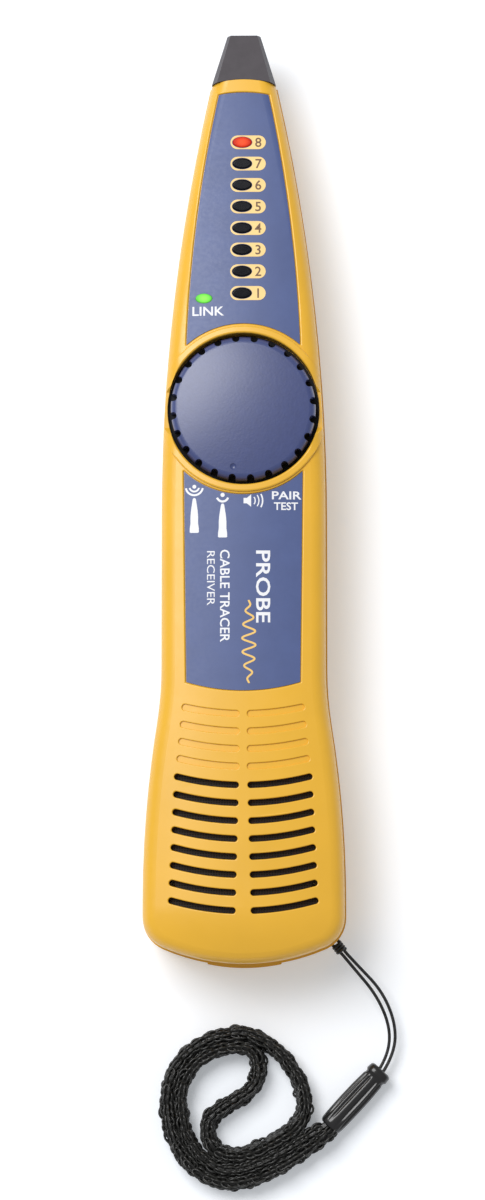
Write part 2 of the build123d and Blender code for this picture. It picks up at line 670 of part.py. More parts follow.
# ---------------------------------------------------------------- speaker
speaker_at = (0, SPEAKER_Y)
with BuildPart() as speaker_frame:
    add(rods([speaker_at], 18.4, SPEAKER_FLANGE_Z, SPEAKER_FLANGE_Z + 1.0))
    add(block((-14.5, 14.5), (-113.2, -68.6), (SPEAKER_FLANGE_Z, SPEAKER_FLANGE_Z + 1.0), 2.5))
    with BuildSketch(Plane.XZ.offset(-SPEAKER_Y)):
        with BuildLine():
            low = SPEAKER_FLANGE_Z - 2.1
            Polyline((0, low), (11.6, low), (16.6, SPEAKER_FLANGE_Z), (0, SPEAKER_FLANGE_Z), close=True)
        make_face()
    revolve(axis=Axis((0, SPEAKER_Y, 0), (0, 0, 1)))
    with BuildSketch(Plane.XZ.offset(-SPEAKER_Y)):
        with BuildLine():
            top = SPEAKER_FLANGE_Z + 2
            basket = [(0, low + 0.6), (11.0, low + 0.6), (15.7, SPEAKER_FLANGE_Z + 0.3)]
            Polyline(*basket, (15.7, top), (0, top), close=True)
        make_face()
    revolve(axis=Axis((0, SPEAKER_Y, 0), (0, 0, 1)), mode=Mode.SUBTRACT)
    add(rods(SPEAKER_EARS, 0.9, 20, 30), mode=Mode.SUBTRACT)
export(speaker_frame.part, "speaker_frame")

with BuildPart() as speaker_cone:
    with BuildSketch(Plane.XZ.offset(-SPEAKER_Y)):
        with BuildLine():
            rim = SPEAKER_FLANGE_Z + 0.3
            lift = 0.25
            lower = [(0, low + 1.0), (6.0, low + 1.0), (13.0, rim), (15.7, rim)]
            upper = [(15.7, rim + lift), (13.0, rim + lift + 0.3), (6.0, low + 1.35), (0, low + 1.8)]
            Polyline(*lower, *upper, close=True)
        make_face()
    revolve(axis=Axis((0, SPEAKER_Y, 0), (0, 0, 1)))
export(speaker_cone.part, "speaker_cone")

with BuildPart() as speaker_magnet:
    add(rods([speaker_at], 10.5, 20.7, SPEAKER_FLANGE_Z - 2.1))
    fillet(speaker_magnet.edges(), radius=0.3)
export(speaker_magnet.part, "speaker_magnet")

with BuildPart() as grille_cloth:
    add(skin[WALL])
    add(skin[WALL + 0.3], mode=Mode.SUBTRACT)
    add(block((-19.9, 19.9), (-109.4, -71.6), (20, 40), 3.0), mode=Mode.INTERSECT)
    add(rods(SPEAKER_EARS, 2.1, 10, 40), mode=Mode.SUBTRACT)
    add(rods(CASE_SCREWS, 3.1, 10, 40), mode=Mode.SUBTRACT)
export(grille_cloth.part, "grille_cloth")

with BuildPart() as speaker_gasket:
    with BuildSketch(Plane.XY.offset(SPEAKER_FLANGE_Z + 1.0)):
        with Locations(speaker_at):
            Circle(18.2)
            Circle(15.9, mode=Mode.SUBTRACT)
    extrude(amount=10)
    add(skin[WALL + 0.3], mode=Mode.INTERSECT)
export(speaker_gasket.part, "speaker_gasket")

with BuildPart() as speaker_screws:
    add(rods(SPEAKER_EARS, 1.6, SPEAKER_FLANGE_Z - 0.9, SPEAKER_FLANGE_Z))
    add(rods(SPEAKER_EARS, 0.9, SPEAKER_FLANGE_Z, 26.7))
export(speaker_screws.part, "speaker_screws")

# ---------------------------------------------------------------- battery and its clip
half_x = BATTERY[0] / 2
battery_mid_z = BATTERY_Z + BATTERY[2] / 2
with BuildPart() as battery:
    with BuildSketch(Plane.XZ.offset(-BATTERY_Y[0])):
        with Locations((0, battery_mid_z)):
            RectangleRounded(BATTERY[0], BATTERY[2], 2.4)
    extrude(amount=-BATTERY[1])
export(battery.part, "battery")

with BuildPart() as battery_terminals:
    for x, radius in ((-6.35, 2.9), (6.35, 3.9)):
        with BuildSketch(Plane.XZ.offset(-BATTERY_Y[1])):
            with Locations((x, battery_mid_z)):
                Circle(radius)
        extrude(amount=-2.1)
export(battery_terminals.part, "battery_terminals")

with BuildPart() as battery_snap:
    with BuildSketch(Plane.XZ.offset(-BATTERY_Y[1] - 0.2)):
        with Locations((0, battery_mid_z)):
            SlotOverall(26.0, 12.6)
    extrude(amount=-3.4)
    for x, radius in ((-6.35, 3.0), (6.35, 4.0)):
        with BuildSketch(Plane.XZ.offset(-BATTERY_Y[1])):
            with Locations((x, battery_mid_z)):
                Circle(radius)
        extrude(amount=-2.1, mode=Mode.SUBTRACT)
export(battery_snap.part, "battery_snap")

# ---------------------------------------------------------------- pickup in the nose
nose_plane = Plane(origin=(0, 0, PICKUP_Z), x_dir=(1, 0, 0), z_dir=(0, 1, 0))


def nose_bar(outline, low, high):
    """Bar along the nose axis between two distances."""
    with BuildPart() as bar:
        with BuildSketch(nose_plane.offset(low)):
            if len(outline) == 1:
                Circle(outline[0])
            else:
                RectangleRounded(outline[0], outline[1], outline[2])
        extrude(amount=high - low)
    return bar.part


with BuildPart() as nose_collar:
    add(nose_bar((10.6, 7.4, 3.0), 104.8, 106.8))
    add(nose_bar((8.6, 6.2, 1.6), 106.8, 117.0))
    add(nose_bar((2.3,), 104.0, 118.0), mode=Mode.SUBTRACT)
export(nose_collar.part, "nose_collar")

with BuildPart() as pickup_core:
    add(nose_bar((2.25,), 95.6, 116.6))
export(pickup_core.part, "pickup_core")

with BuildPart() as pickup_winding:
    for k in range(8):
        add(nose_bar((3.5,), 96.6 + k, 97.5 + k))
    add(nose_bar((3.2,), 96.6, 104.5))
    add(nose_bar((2.25,), 95.0, 106.0), mode=Mode.SUBTRACT)
export(pickup_winding.part, "pickup_winding")

with BuildPart() as tip_cap:
    rear_end = (NOSE_Y - 1.5, 7.3, 8.6, 10.6, 24.4)
    front_end = (TIP_END_Y, 3.5, 4.3, 14.2, 20.6)
    for y, top, side, low, high in (rear_end, front_end):
        bevel = (side - top) * 1.6
        with BuildSketch(Plane(origin=(0, y, 0), x_dir=(-1, 0, 0), z_dir=(0, 1, 0))):
            with BuildLine():
                right = [(top, high), (side, high - bevel), (side, low + bevel), (top, low)]
                left = [(-x, z) for x, z in reversed(right)]
                Polyline(*right, *left, close=True)
            make_face()
    loft(ruled=True)
    fillet(tip_cap.faces().sort_by(Axis.Y)[-1].edges(), radius=0.6)
    add(nose_zone(-0.1), mode=Mode.SUBTRACT)
    add(nose_bar((8.78, 6.38, 1.69), NOSE_Y - 1, 117.3), mode=Mode.SUBTRACT)
export(tip_cap.part, "tip_cap")


# ---------------------------------------------------------------- leads, string and strap
def eased_radii(points):
    """Arc radius at each corner so that straight stretches remain between the arcs."""
    radii = []
    for back, here, ahead in zip(points, points[1:], points[2:]):
        first = Vector(*here) - Vector(*back)
        second = Vector(*ahead) - Vector(*here)
        half_turn = math.radians(first.get_angle(second)) / 2
        radii.append(0.45 * min(first.length, second.length) / math.tan(half_turn))
    return radii


def round_tube(points, radius):
    """Round cord along straight runs joined by tangent arcs."""
    with BuildPart() as tube:
        with BuildLine() as route:
            FilletPolyline(*points, radius=eased_radii(points))
        with BuildSketch(Plane(origin=route.line @ 0, z_dir=route.line % 0)):
            Circle(radius)
        sweep(path=route.line)
    length = sum(edge.length for edge in route.edges())
    print("cord arc radii", [round(r, 1) for r in eased_radii(points)], "length", round(length, 1))
    return tube.part


lead_z = battery_mid_z
snap_y = BATTERY_Y[1] + 3.6
socket_y = BOARD_Y[0] + 1
LEAD_ROUTES = {
    "battery_lead_red": ((-9.0, 0.0), (-11.0, 2.0)),
    "battery_lead_black": ((-5.0, 1.4), (-9.4, 2.0)),
}
for name, (snap, socket) in LEAD_ROUTES.items():
    points = [
        (snap[0], snap_y, lead_z + snap[1]),
        (snap[0], snap_y + 5.0, lead_z + snap[1]),
        (socket[0], socket_y - 6.0, BOARD_Z - socket[1]),
        (socket[0], socket_y, BOARD_Z - socket[1]),
    ]
    with BuildPart() as lead:
        add(round_tube(points, 0.6))
    export(lead.part, name)

with BuildPart() as speaker_leads:
    for x in (7.4, 9.4):
        points = [
            (x, SPEAKER_Y + 19.0, SPEAKER_FLANGE_Z - 0.5),
            (x, SPEAKER_Y + 25.0, SPEAKER_FLANGE_Z - 0.5),
            (x + 1.5, socket_y - 5.0, BOARD_Z - 2.0),
            (x + 1.5, socket_y, BOARD_Z - 2.0),
        ]
        add(round_tube(points, 0.5))
export(speaker_leads.part, "speaker_leads")

axis_x = FERRULE_END[0] - FERRULE_TOP[0]
axis_y = FERRULE_END[1] - FERRULE_TOP[1]
axis_len = math.hypot(axis_x, axis_y)
ux = axis_x / axis_len
uy = axis_y / axis_len


def beside(point, along, across, z):
    """Point offset from a ferrule point, along its axis and across it."""
    return (point[0] + along * ux - across * uy, point[1] + along * uy + across * ux, z)


def at_post(out, over, z):
    """Point near the post, measured outward and sideways."""
    return (POST_AT[0] + out * out_x - over * out_y, POST_AT[1] + out * out_y + over * out_x, z)


with BuildPart() as lanyard_string:
    loop = 1.36
    string_points = [
        beside(FERRULE_TOP, 0, 0.62, 3.8),
        (38.9, -144.2, 4.0),
        (39.3, -136.6, 4.6),
        (35.8, -128.0, 5.8),
        (29.4, -120.6, 7.0),
        at_post(4.4, loop, 7.5),
        at_post(-loop, loop, 7.5),
        at_post(-loop, -loop, 7.5),
        at_post(4.4, -loop, 7.5),
        (28.0, -121.8, 7.0),
        (34.3, -129.0, 5.8),
        (37.8, -137.2, 4.6),
        (37.4, -144.2, 4.0),
        beside(FERRULE_TOP, 0, -0.62, 3.8),
    ]
    add(round_tube(string_points, STRING_RADIUS))
export(lanyard_string.part, "lanyard_string")

ferrule_foot = (FERRULE_END[0], FERRULE_END[1], STRAP_Z)
ferrule_plane = Plane(origin=ferrule_foot, x_dir=(-uy, ux, 0), z_dir=(-ux, -uy, 0))
with BuildPart() as strap_ferrule:
    with BuildSketch(ferrule_plane):
        RectangleRounded(6.2, 7.4, 2.4)
    with BuildSketch(ferrule_plane.offset(axis_len)):
        RectangleRounded(5.2, 5.6, 2.0)
    loft(ruled=True)
    for x in (-1.9, -0.65, 0.65, 1.9):
        with BuildSketch(ferrule_plane.offset(3.0)):
            with Locations((x, 3.9)):
                Circle(0.42)
        extrude(amount=axis_len - 6.5, mode=Mode.SUBTRACT)
export(strap_ferrule.part, "strap_ferrule")

# Middle line of the two layers of webbing, from the ferrule round the bottom and left to the top.
BAND = [
    (21.8, -163.2),
    (19.75, -165.4),
    (2.2, -175.9),
    (-8.2, -176.3),
    (-16.2, -168.7),
    (-18.8, -159.5),
    (-18.4, -151.4),
    (-14.0, -144.8),
    (-6.2, -140.7),
    (2.8, -140.6),
]
# The same strap goes on alone round the right, back along the bottom and up through the middle.
SINGLE = [
    (11.3, -146.0),
    (15.6, -154.3),
    (15.1, -161.8),
    (8.4, -166.6),
    (-0.5, -171.0),
    (-8.0, -169.9),
    (-10.6, -162.6),
    (-6.0, -158.2),
    (1.2, -154.2),
    (3.9, -150.2),
    (3.0, -142.6),
]


def layer_line(points, shift):
    """Line parallel to a polyline, moved to its left by shift."""
    moved = []
    for k, (x, y) in enumerate(points):
        normals = []
        for a, b in ((k - 1, k), (k, k + 1)):
            if a >= 0 and b < len(points):
                dx = points[b][0] - points[a][0]
                dy = points[b][1] - points[a][1]
                size = math.hypot(dx, dy)
                normals.append((-dy / size, dx / size))
        nx = sum(n[0] for n in normals)
        ny = sum(n[1] for n in normals)
        scale = shift * len(normals) / (nx * nx + ny * ny)
        moved.append((x + nx * scale, y + ny * scale))
    return moved


outer_layer = layer_line(BAND, LAYER / 2)
inner_layer = layer_line(BAND[:-1], -LAYER / 2)
strap_points = outer_layer[:-1] + [(2.6, -138.9)] + SINGLE + inner_layer[::-1]
with BuildPart() as wrist_strap:
    with BuildLine() as strap_route:
        FilletPolyline(*[(x, y, STRAP_Z) for x, y in strap_points], radius=eased_radii(strap_points))
    start = strap_route.line @ 0
    heading = strap_route.line % 0
    with BuildSketch(Plane(origin=start, x_dir=(-heading.Y, heading.X, 0), z_dir=heading)):
        RectangleRounded(STRAP_THICK, STRAP_HIGH, 1.1)
    sweep(path=strap_route.line)
print("strap arc radii", [round(r, 1) for r in eased_radii(strap_points)])
strap_length = sum(edge.length for edge in strap_route.edges())
print("strap length", round(strap_length, 1), "volume", round(wrist_strap.part.volume, 1))
export(wrist_strap.part, "wrist_strap")
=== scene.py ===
import math

import bmesh
import bpy
import numpy as np
from mathutils import Matrix, Vector, noise


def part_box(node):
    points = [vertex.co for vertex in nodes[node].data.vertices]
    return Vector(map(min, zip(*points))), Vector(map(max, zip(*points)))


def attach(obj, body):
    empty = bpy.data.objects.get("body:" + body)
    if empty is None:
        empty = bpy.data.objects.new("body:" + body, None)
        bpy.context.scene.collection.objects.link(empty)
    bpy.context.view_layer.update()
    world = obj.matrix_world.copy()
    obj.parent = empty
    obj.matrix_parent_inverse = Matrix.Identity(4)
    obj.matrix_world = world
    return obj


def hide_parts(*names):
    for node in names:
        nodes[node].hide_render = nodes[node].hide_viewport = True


# Handheld cable tone probe lying on its back, with its wrist strap.
# Metres, in the frame of the CAD model: +Z out of the face, +Y toward the tip.
MM = 0.001

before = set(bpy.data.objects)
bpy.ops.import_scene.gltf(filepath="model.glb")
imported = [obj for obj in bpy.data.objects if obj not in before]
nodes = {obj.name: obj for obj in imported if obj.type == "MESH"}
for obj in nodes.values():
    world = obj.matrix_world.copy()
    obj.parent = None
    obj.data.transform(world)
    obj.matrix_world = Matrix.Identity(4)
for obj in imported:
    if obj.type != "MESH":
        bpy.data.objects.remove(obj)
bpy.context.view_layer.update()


# ---------------------------------------------------------------- camera
CAMERA_DISTANCE = 1.05
CAMERA_TARGET = Vector((-0.0002, -0.0277, 0.030))
CAMERA_LEAN_DOWN = math.radians(5.0)
CAMERA_LEAN_RIGHT = math.radians(1.1)
# Height seen at the target, in metres, and height of the sensor, in millimetres.
FRAME_HEIGHT = 0.3085
SENSOR_HEIGHT = 24.0


def add_camera():
    """Camera above the face, leaning a little toward the butt and the right."""
    away = Vector((math.tan(CAMERA_LEAN_RIGHT), -math.tan(CAMERA_LEAN_DOWN), 1.0)).normalized()
    data = bpy.data.cameras.new("camera")
    data.sensor_fit = "VERTICAL"
    data.sensor_height = SENSOR_HEIGHT
    data.lens = SENSOR_HEIGHT / 2 / (FRAME_HEIGHT / 2 / CAMERA_DISTANCE)
    data.clip_start = 0.01
    data.clip_end = 10.0
    camera = bpy.data.objects.new("camera", data)
    side = Vector((0, 1, 0)).cross(away).normalized()
    up = away.cross(side)
    turn = Matrix((side, up, away)).transposed().to_4x4()
    camera.matrix_world = Matrix.Translation(CAMERA_TARGET + away * CAMERA_DISTANCE) @ turn
    bpy.context.scene.collection.objects.link(camera)
    bpy.context.scene.camera = camera


add_camera()


# ---------------------------------------------------------------- node materials
def new_material(name):
    """New node material, with its tree, its shader and the object's coordinates."""
    material = bpy.data.materials.new(name)
    material.use_nodes = True
    tree = material.node_tree
    tree.nodes.clear()
    output = tree.nodes.new("ShaderNodeOutputMaterial")
    shader = tree.nodes.new("ShaderNodeBsdfPrincipled")
    tree.links.new(shader.outputs[0], output.inputs["Surface"])
    place = tree.nodes.new("ShaderNodeTexCoord")
    return material, tree, shader, place.outputs["Object"]


NOISE_ROUGHNESS = 0.55
# How far a surface's roughness goes from its mean value.
GLOSS_SPREAD = 0.04


def noise_of(tree, place, scale, detail=3.0):
    """Noise value at a scale in cells per metre."""
    node = tree.nodes.new("ShaderNodeTexNoise")
    node.inputs["Scale"].default_value = scale
    node.inputs["Detail"].default_value = detail
    node.inputs["Roughness"].default_value = NOISE_ROUGHNESS
    tree.links.new(place, node.inputs["Vector"])
    return node.outputs["Fac"]


def spread(tree, value, low, high, start=0.3, stop=0.7):
    """Value mapped from start..stop to low..high."""
    node = tree.nodes.new("ShaderNodeMapRange")
    node.inputs["From Min"].default_value = start
    node.inputs["From Max"].default_value = stop
    node.inputs["To Min"].default_value = low
    node.inputs["To Max"].default_value = high
    tree.links.new(value, node.inputs["Value"])
    return node.outputs["Result"]


def mixed(tree, factor, first, second):
    """Colour between two colours, each a tuple or another node's output."""
    node = tree.nodes.new("ShaderNodeMix")
    node.data_type = "RGBA"
    for socket, colour in ((node.inputs[6], first), (node.inputs[7], second)):
        if isinstance(colour, tuple):
            socket.default_value = (*colour, 1.0)
        else:
            tree.links.new(colour, socket)
    tree.links.new(factor, node.inputs[0])
    return node.outputs[2]


def bump(tree, shader, height, strength, distance):
    """Bump from a height value."""
    node = tree.nodes.new("ShaderNodeBump")
    node.inputs["Strength"].default_value = strength
    node.inputs["Distance"].default_value = distance
    tree.links.new(height, node.inputs["Height"])
    tree.links.new(node.outputs["Normal"], shader.inputs["Normal"])


def shade(colour, factor):
    """Colour made darker or lighter."""
    return tuple(min(1.0, c * factor) for c in colour)


def moulded(name, colour, rough, vary=0.05, patch=45.0, grain=3200.0, grain_depth=12e-6,
            metallic=0.0, coat=0.0, coat_rough=0.2, specular=0.5):
    """Moulded or plated surface: uneven tone, uneven gloss and a fine texture."""
    material, tree, shader, place = new_material(name)
    tone = noise_of(tree, place, patch)
    colours = mixed(tree, spread(tree, tone, 0.0, 1.0), shade(colour, 1 - vary),
                    shade(colour, 1 + vary))
    tree.links.new(colours, shader.inputs["Base Color"])
    gloss = noise_of(tree, place, patch * 7, 4.0)
    roughness = spread(tree, gloss, rough - GLOSS_SPREAD, rough + GLOSS_SPREAD)
    tree.links.new(roughness, shader.inputs["Roughness"])
    bump(tree, shader, noise_of(tree, place, grain, 2.0), 0.5, grain_depth)
    shader.inputs["Metallic"].default_value = metallic
    shader.inputs["Specular IOR Level"].default_value = specular
    shader.inputs["Coat Weight"].default_value = coat
    shader.inputs["Coat Roughness"].default_value = coat_rough
    return material


def glowing(name, colour, glow, strength, centre, reach):
    """Lit lens: glow strongest in the middle of the lens."""
    material, tree, shader, place = new_material(name)
    shift = tree.nodes.new("ShaderNodeMapping")
    shift.vector_type = "TEXTURE"
    shift.inputs["Location"].default_value = centre
    shift.inputs["Scale"].default_value = reach
    tree.links.new(place, shift.inputs["Vector"])
    ball = tree.nodes.new("ShaderNodeTexGradient")
    ball.gradient_type = "SPHERICAL"
    tree.links.new(shift.outputs[0], ball.inputs["Vector"])
    heat = spread(tree, ball.outputs["Fac"], 0.0, 1.0, 0.0, 0.8)
    colours = mixed(tree, heat, colour, glow)
    tree.links.new(colours, shader.inputs["Base Color"])
    tree.links.new(colours, shader.inputs["Emission Color"])
    shader.inputs["Emission Strength"].default_value = strength
    shader.inputs["Specular IOR Level"].default_value = 0.1
    tree.links.new(spread(tree, noise_of(tree, place, 900), 0.16, 0.24), shader.inputs["Roughness"])
    bump(tree, shader, noise_of(tree, place, 700.0, 1.0), 0.2, 2e-5)
    return material


YELLOW = (0.82, 0.45, 0.03)
LABEL_BLUE = (0.075, 0.108, 0.262)
DIAL_BLUE = (0.034, 0.052, 0.175)

case_yellow = moulded("case_yellow", YELLOW, 0.38, vary=0.03, grain=2600.0, grain_depth=10e-6,
                      coat=0.25, coat_rough=0.22)
label_blue = moulded("label_blue", LABEL_BLUE, 0.42, vary=0.05, patch=160.0, grain=4200.0)
dial_blue = moulded("dial_blue", DIAL_BLUE, 0.44, vary=0.06, patch=700.0, grain=1500.0,
                    grain_depth=85e-6, coat=0.8, coat_rough=0.30)
tip_black = moulded("tip_black", (0.062, 0.054, 0.062), 0.40, vary=0.08, patch=300.0,
                    grain=2600.0, grain_depth=16e-6)
lens_smoke = moulded("lens_smoke", (0.003, 0.003, 0.006), 0.22, vary=0.1, grain=600.0,
                     grain_depth=6e-6, specular=0.12)
board_green = moulded("board_green", (0.012, 0.107, 0.034), 0.35, vary=0.2, patch=420.0,
                      grain=900.0)
chip_black = moulded("chip_black", (0.012, 0.012, 0.013), 0.5)
led_white = moulded("led_white", (0.79, 0.76, 0.58), 0.25)
can_metal = moulded("can_metal", (0.515, 0.527, 0.552), 0.28, metallic=1.0)
steel = moulded("steel", (0.40, 0.41, 0.43), 0.35, metallic=1.0)
screw_steel = moulded("screw_steel", (0.305, 0.314, 0.332), 0.3, metallic=1.0)
nylon_white = moulded("nylon_white", (0.76, 0.745, 0.67), 0.5)
switch_black = moulded("switch_black", (0.019, 0.019, 0.023), 0.5)
shaft_nylon = moulded("shaft_nylon", (0.61, 0.60, 0.55), 0.4)
speaker_steel = moulded("speaker_steel", (0.188, 0.195, 0.209), 0.38, metallic=1.0)
cone_paper = moulded("cone_paper", (0.03, 0.025, 0.023), 0.85, vary=0.3, patch=500.0, grain=1500.0,
                     grain_depth=6e-5)
magnet_dark = moulded("magnet_dark", (0.045, 0.045, 0.051), 0.5)
# Dark foam for the battery pad and speaker gasket; on dial_seal, a dark ring under the dial, the
# same material is painted shade for the deep gap round the dial.
foam_dark = moulded("foam_dark", (0.027, 0.027, 0.03), 0.95, vary=0.3, grain=1800.0,
                    grain_depth=1.5e-4)
battery_case = moulded("battery_case", (0.045, 0.065, 0.098), 0.35, metallic=0.3)
brass = moulded("brass", (0.552, 0.352, 0.107), 0.3, metallic=1.0)
lead_red = moulded("lead_red", (0.445, 0.019, 0.013), 0.45)
lead_black = moulded("lead_black", (0.013, 0.013, 0.014), 0.45)
ferrite = moulded("ferrite", (0.051, 0.048, 0.048), 0.6)
copper = moulded("copper", (0.479, 0.138, 0.048), 0.35, metallic=1.0, grain=1200.0,
                 grain_depth=3e-5)
ferrule_black = moulded("ferrule_black", (0.012, 0.012, 0.013), 0.24, vary=0.1, grain=700.0,
                        grain_depth=1.5e-5)
print_white = moulded("print_white", (0.86, 0.87, 0.90), 0.5, vary=0.03, patch=400.0)
print_yellow = moulded("print_yellow", (0.90, 0.58, 0.16), 0.5, vary=0.04, patch=400.0)
print_pale = moulded("print_pale", (0.93, 0.66, 0.26), 0.5, vary=0.04, patch=400.0)
print_ink = moulded("print_ink", (0.16, 0.085, 0.045), 0.5, vary=0.05, patch=400.0)


def lens_centre(name):
    """Middle of a lens top."""
    low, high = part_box(name)
    return Vector(((low.x + high.x) / 2, (low.y + high.y) / 2, high.z))


# Half axes of the bright spot in a lit lens.
GLOW_REACH = (2.6 * MM, 1.8 * MM, 2.0 * MM)
lens_red = glowing("lens_red", (0.34, 0.005, 0.003), (0.80, 0.075, 0.022), 0.32,
                   lens_centre("level_lens_8"), GLOW_REACH)
lens_green = glowing("lens_green", (0.03, 0.36, 0.03), (0.24, 0.80, 0.10), 0.45,
                     lens_centre("link_lens"), GLOW_REACH)

# Bands of the wave texture to one thread of the weave.
WAVE_BANDS = 3.1


def woven(name, colour, thread):
    """Coarse plain weave, threads that many metres apart."""
    material, tree, shader, place = new_material(name)
    weave = None
    for direction in ("X", "Y"):
        wave = tree.nodes.new("ShaderNodeTexWave")
        wave.bands_direction = direction
        wave.inputs["Scale"].default_value = 1.0 / thread / WAVE_BANDS
        wave.inputs["Distortion"].default_value = 0.6
        tree.links.new(place, wave.inputs["Vector"])
        if weave is None:
            weave = wave.outputs["Fac"]
            continue
        both = tree.nodes.new("ShaderNodeMath")
        both.operation = "MAXIMUM"
        tree.links.new(weave, both.inputs[0])
        tree.links.new(wave.outputs["Fac"], both.inputs[1])
        weave = both.outputs[0]
    colours = mixed(tree, weave, shade(colour, 0.3), shade(colour, 1.3))
    tree.links.new(colours, shader.inputs["Base Color"])
    tree.links.new(spread(tree, weave, 0.95, 0.75), shader.inputs["Roughness"])
    bump(tree, shader, weave, 0.7, 1e-4)
    return material


cloth_black = woven("cloth_black", (0.010, 0.007, 0.006), 0.7 * MM)


def yarn(name, colour, twist, sheen):
    """Filament yarn: fine fibres, uneven tone and a soft sheen."""
    material, tree, shader, place = new_material(name)
    tone = noise_of(tree, place, 650.0, 4.0)
    light = mixed(tree, spread(tree, tone, 0.0, 1.0), shade(colour, 0.4), shade(colour, 2.0))
    tree.links.new(light, shader.inputs["Base Color"])
    gloss = noise_of(tree, place, 1500.0)
    tree.links.new(spread(tree, gloss, 0.22, 0.44), shader.inputs["Roughness"])
    bump(tree, shader, noise_of(tree, place, twist, 3.0), 0.8, 6e-5)
    shader.inputs["Sheen Weight"].default_value = sheen
    shader.inputs["Sheen Roughness"].default_value = 0.4
    return material


strap_black = yarn("strap_black", (0.009, 0.009, 0.008), 3600.0, 0.05)
# Darker yarn colour for the body inside the knit: painted shade for the hollow inside of the strap.
strap_inner_shade = yarn("strap_inner_shade", (0.004, 0.004, 0.004), 3000.0, 0.0)
string_black = yarn("string_black", (0.010, 0.010, 0.010), 4000.0, 0.05)

NODE_MATERIALS = {
    case_yellow: ("front_shell", "rear_shell", "battery_door"),
    # dial_seal is a dark ring put under the dial: painted shade for the deep gap round the dial;
    # the pad and gasket are real foam.
    foam_dark: ("battery_pad", "speaker_gasket", "dial_seal"),
    label_blue: ("upper_label", "lower_label"),
    dial_blue: ("selector_dial",),
    shaft_nylon: ("switch_shaft",),
    switch_black: ("rotary_switch", "battery_snap"),
    tip_black: ("tip_cap",),
    nylon_white: ("nose_collar", "board_sockets"),
    ferrite: ("pickup_core",),
    copper: ("pickup_winding",),
    lens_red: ("level_lens_8",),
    lens_smoke: tuple("level_lens_" + str(k) for k in range(1, 8)),
    lens_green: ("link_lens",),
    led_white: ("level_leds", "link_led"),
    board_green: ("main_board",),
    chip_black: ("processor_chip", "amplifier_chip", "filter_chip", "small_parts"),
    can_metal: ("crystal", "storage_capacitors"),
    speaker_steel: ("speaker_frame",),
    cone_paper: ("speaker_cone",),
    magnet_dark: ("speaker_magnet",),
    cloth_black: ("grille_cloth",),
    screw_steel: ("case_screws", "board_screws", "speaker_screws"),
    battery_case: ("battery",),
    brass: ("battery_terminals",),
    lead_red: ("battery_lead_red",),
    lead_black: ("battery_lead_black", "speaker_leads"),
    steel: ("lanyard_post",),
    ferrule_black: ("strap_ferrule",),
    string_black: ("lanyard_string",),
    strap_black: ("wrist_strap",),
}
for material, names in NODE_MATERIALS.items():
    for name in names:
        mesh = nodes[name].data
        mesh.materials.clear()
        mesh.materials.append(material)


# ---------------------------------------------------------------- helpers for pieces
def link_object(name, data, material):
    """New object from data, with its material."""
    piece = bpy.data.objects.new(name, data)
    bpy.context.scene.collection.objects.link(piece)
    data.materials.clear()
    data.materials.append(material)
    return piece


def spline_curve(name, points, bevel=0.0):
    """Curve object of one open NURBS spline with these control points, in millimetres."""
    data = bpy.data.curves.new(name, "CURVE")
    data.dimensions = "3D"
    data.resolution_u = 16
    data.bevel_depth = bevel
    data.bevel_resolution = 4
    data.use_fill_caps = True
    spline = data.splines.new("NURBS")
    spline.points.add(len(points) - 1)
    for point, place in zip(spline.points, points):
        point.co = (place[0] * MM, place[1] * MM, place[2] * MM, 1.0)
    spline.order_u = 3
    spline.use_endpoint_u = True
    curve = bpy.data.objects.new(name, data)
    bpy.context.scene.collection.objects.link(curve)
    return curve


def line_of(curve):
    """Points that Blender gives for a curve with no bevel."""
    mesh = bpy.data.meshes.new_from_object(curve)
    points = [v.co.copy() for v in mesh.vertices]
    bpy.data.meshes.remove(mesh)
    return points


def tube_piece(name, mesh, rings, material, smooth_sides=True, smooth_ends=True):
    """New object from rings of vertices joined to a closed tube with flat ends."""
    for first, second in zip(rings, rings[1:]):
        for k in range(len(first)):
            m = (k + 1) % len(first)
            mesh.faces.new((first[k], first[m], second[m], second[k]))
    mesh.faces.new(rings[0][::-1])
    mesh.faces.new(rings[-1])
    bmesh.ops.recalc_face_normals(mesh, faces=mesh.faces)
    data = bpy.data.meshes.new(name)
    mesh.to_mesh(data)
    mesh.free()
    for face in data.polygons:
        face.use_smooth = smooth_sides if len(face.vertices) == 4 else smooth_ends
    return link_object(name, data, material)


def sweep(name, line, radius, sides, material):
    """Closed tube of even radius along a line of points."""
    mesh = bmesh.new()
    rings = []
    up = Vector((0, 0, 1))
    for k, point in enumerate(line):
        ahead = line[min(k + 1, len(line) - 1)] - line[max(k - 1, 0)]
        ahead.normalize()
        up = (up - ahead * up.dot(ahead)).normalized()
        side = ahead.cross(up)
        ring = []
        for n in range(sides):
            angle = 2 * math.pi * n / sides
            out = side * math.cos(angle) + up * math.sin(angle)
            ring.append(mesh.verts.new(point + out * radius))
        rings.append(ring)
    return tube_piece(name, mesh, rings, material)


# ---------------------------------------------------------------- lanyard string
# Places and sizes from here to the wrist strap are in millimetres.
POST_AT = (21.9, -113.4)
POST_OUT = (0.62, -0.785)
FERRULE_TOP = (35.6, -148.4)
FERRULE_END = (21.8, -163.2)
STRING_RADIUS = 0.42
POST_Z = 7.5
FERRULE_Z = 3.8
ferrule_axis = Vector((FERRULE_END[0] - FERRULE_TOP[0],
                       FERRULE_END[1] - FERRULE_TOP[1])).normalized()


def at_post(out, over, z):
    """Point near the post, measured outward and sideways."""
    x = POST_AT[0] + out * POST_OUT[0] - over * POST_OUT[1]
    y = POST_AT[1] + out * POST_OUT[1] + over * POST_OUT[0]
    return (x, y, z)


def at_ferrule(across, z):
    """Point at the string's end of the ferrule, measured across it."""
    return (FERRULE_TOP[0] - across * ferrule_axis.y, FERRULE_TOP[1] + across * ferrule_axis.x, z)


